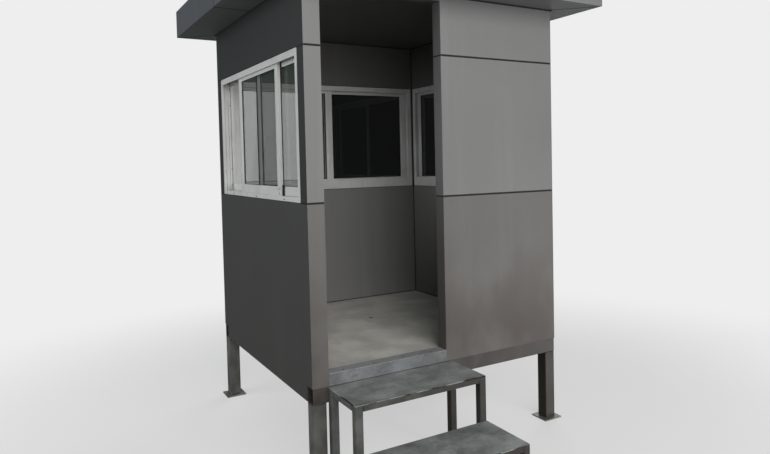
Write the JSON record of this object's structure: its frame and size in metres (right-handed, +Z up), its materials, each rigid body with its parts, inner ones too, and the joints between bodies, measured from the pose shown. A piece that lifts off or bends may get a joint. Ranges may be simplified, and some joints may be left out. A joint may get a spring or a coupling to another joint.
{
  "type": "security guard booth",
  "caption": "Raised square guard booth with grey composite panel walls, an open doorway, sliding windows on three sides, a flat overhanging roof and a two-step entrance.",
  "frame": {"origin": "at ground level, in the middle of the plan outline with the roof and the steps included", "axes": "+X to the right of someone facing the doorway, +Y from the doorway to the back wall, +Z up"},
  "size_m": [2.54, 3.075, 3.36],
  "materials": {
    "steel_frame": "grey steel, dull, lightly weathered",
    "galvanised": "galvanised sheet, mottled and scuffed",
    "panel_dark": "dark grey satin composite sheet",
    "panel_light": "mid grey satin composite sheet",
    "infill": "black membrane over the wall infill",
    "window_frame": "white coated aluminium",
    "window_glass": "dark tinted glass",
    "floor_board": "beige floor board, lightly stained",
    "roof_deck": "plain grey sheet"
  },
  "bodies": {
    "root": {"leg_front_left": "steel_frame", "leg_front_right": "steel_frame", "leg_back_left": "steel_frame", "leg_back_right": "steel_frame", "base_plates": "steel_frame", "base_beam_front": "steel_frame", "base_beam_back": "steel_frame", "base_beam_left": "steel_frame", "base_beam_right": "steel_frame", "floor_joists": "steel_frame", "floor_deck": "floor_board", "corner_posts": "steel_frame", "left_wall": "infill", "right_wall": "infill", "back_wall": "infill", "front_wall": "infill", "left_cladding": "panel_dark", "right_cladding": "panel_dark", "back_cladding": "panel_light", "front_cladding": "panel_light", "front_corner_cladding": "panel_light", "left_lining": "panel_dark", "right_lining": "panel_dark", "back_lining": "panel_dark", "front_lining": "panel_dark", "door_sill": "galvanised", "door_head": "panel_dark", "left_window_frame": "window_frame", "left_window_sashes": "window_frame", "left_window_glass": "window_glass", "right_window_frame": "window_frame", "right_window_sashes": "window_frame", "right_window_glass": "window_glass", "back_window_frame": "window_frame", "back_window_sashes": "window_frame", "back_window_glass": "window_glass", "soffit": "panel_dark", "ceiling": "panel_dark", "roof_beams": "steel_frame", "fascia": "panel_light", "roof_deck": "roof_deck", "upper_step_tread": "galvanised", "upper_step_frame": "steel_frame", "lower_step_tread": "galvanised", "lower_step_frame": "steel_frame"}
  },
  "joints": []
}
